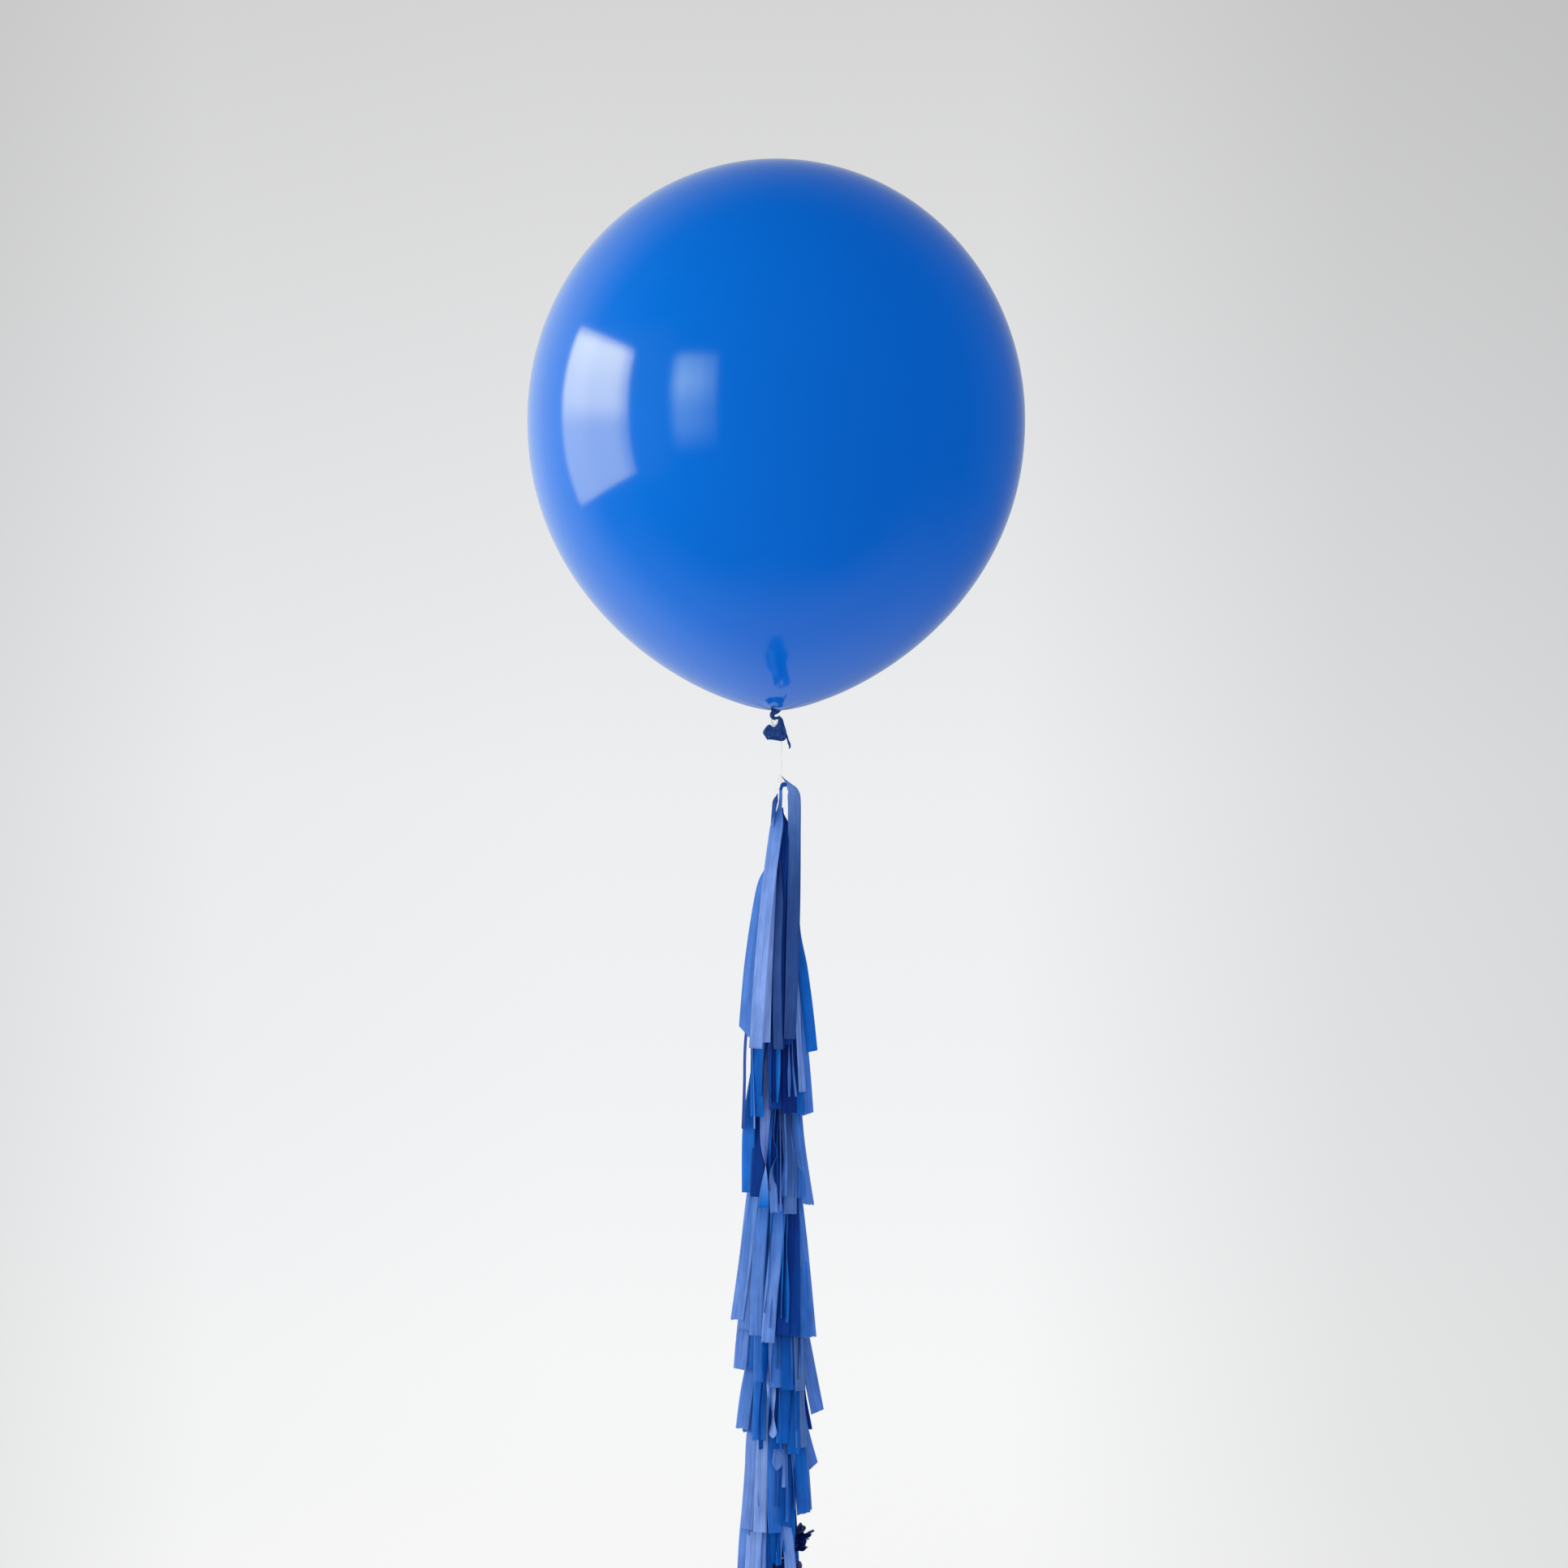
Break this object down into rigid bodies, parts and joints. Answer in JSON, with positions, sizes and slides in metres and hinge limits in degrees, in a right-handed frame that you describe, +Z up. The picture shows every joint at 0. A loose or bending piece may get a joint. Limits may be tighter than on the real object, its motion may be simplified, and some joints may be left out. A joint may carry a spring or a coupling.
{
  "type": "latex balloon",
  "caption": "Giant round helium balloon of blue latex on a clear line, with a tail of tissue paper tassels and a foil wrapped floor weight.",
  "frame": {"origin": "centre of the balloon's widest section, where the helium's lift acts to within a few millimetres", "axes": "+Z up through the crown, -Y to the front, where the flattened neck end hangs"},
  "size_m": [0.894, 0.8937, 2.576],
  "materials": {
    "latex": "gloss",
    "line": "clear",
    "tissue_head": "matte",
    "tissue_light": "matte",
    "tissue_deep": "matte",
    "foil": "metallised film",
    "core": "cast"
  },
  "bodies": {
    "balloon": {"balloon_envelope": "latex", "neck_knot": "latex", "line_hitch": "line"},
    "neck_end": {"neck_flap": "latex", "rolled_lip": "latex"},
    "hitch": {"hitch_knot": "line"},
    "tail": {"tether_line": "line", "tassel_1_tie": "line", "tassel_2_tie": "line", "tassel_3_tie": "line", "tassel_4_tie": "line", "tassel_5_tie": "line", "tassel_6_tie": "line", "tassel_7_tie": "line", "tassel_8_tie": "line"},
    "weight": {"weight_core": "core", "weight_foil": "foil", "weight_tie": "line", "weight_ruffle": "foil", "weight_line_knot": "line"},
    "tassel_1": {"tassel_1_collar": "tissue_head", "tassel_1_strips": "tissue_light"},
    "tassel_2": {"tassel_2_collar": "tissue_head", "tassel_2_strips": "tissue_deep"},
    "tassel_3": {"tassel_3_collar": "tissue_head", "tassel_3_strips": "tissue_light"},
    "tassel_4": {"tassel_4_collar": "tissue_head", "tassel_4_strips": "tissue_deep"},
    "tassel_5": {"tassel_5_collar": "tissue_head", "tassel_5_strips": "tissue_light"},
    "tassel_6": {"tassel_6_collar": "tissue_head", "tassel_6_strips": "tissue_deep"},
    "tassel_7": {"tassel_7_collar": "tissue_head", "tassel_7_strips": "tissue_light"},
    "tassel_8": {"tassel_8_collar": "tissue_head", "tassel_8_strips": "tissue_deep"}
  },
  "joints": [
    {"name": "neck_flex", "type": "hinge", "parent": "balloon", "child": "neck_end", "pos_m": [0.009, -0.0077, -0.544], "axis": [1, 0, 0], "range_deg": [-60, 4], "stiffness_Nm_per_rad": 0.004},
    {"name": "tail_swing", "type": "hinge", "parent": "balloon", "child": "hitch", "pos_m": [0.009, 0, -0.551], "axis": [0, 1, 0], "range_deg": [-30, 30]},
    {"name": "tail_swivel", "type": "hinge", "parent": "hitch", "child": "tail", "pos_m": [0.009, 0, -0.5536], "axis": [0, 0, 1], "continuous": true},
    {"name": "weight_swing", "type": "hinge", "parent": "tail", "child": "weight", "pos_m": [0.009, 0, -2.0412], "axis": [0, 1, 0], "range_deg": [-12, 12]},
    {"name": "tassel_1_spin", "type": "hinge", "parent": "tail", "child": "tassel_1", "pos_m": [0.009, 0, -0.6535], "axis": [0, 0, 1], "continuous": true},
    {"name": "tassel_2_spin", "type": "hinge", "parent": "tail", "child": "tassel_2", "pos_m": [0.009, 0, -0.7765], "axis": [0, 0, 1], "continuous": true},
    {"name": "tassel_3_spin", "type": "hinge", "parent": "tail", "child": "tassel_3", "pos_m": [0.009, 0, -0.9345], "axis": [0, 0, 1], "continuous": true},
    {"name": "tassel_4_spin", "type": "hinge", "parent": "tail", "child": "tassel_4", "pos_m": [0.009, 0, -1.1685], "axis": [0, 0, 1], "continuous": true},
    {"name": "tassel_5_spin", "type": "hinge", "parent": "tail", "child": "tassel_5", "pos_m": [0.009, 0, -1.2635], "axis": [0, 0, 1], "continuous": true},
    {"name": "tassel_6_spin", "type": "hinge", "parent": "tail", "child": "tassel_6", "pos_m": [0.009, 0, -1.3805], "axis": [0, 0, 1], "continuous": true},
    {"name": "tassel_7_spin", "type": "hinge", "parent": "tail", "child": "tassel_7", "pos_m": [0.009, 0, -1.5015], "axis": [0, 0, 1], "continuous": true},
    {"name": "tassel_8_spin", "type": "hinge", "parent": "tail", "child": "tassel_8", "pos_m": [0.009, 0, -1.6145], "axis": [0, 0, 1], "continuous": true}
  ]
}
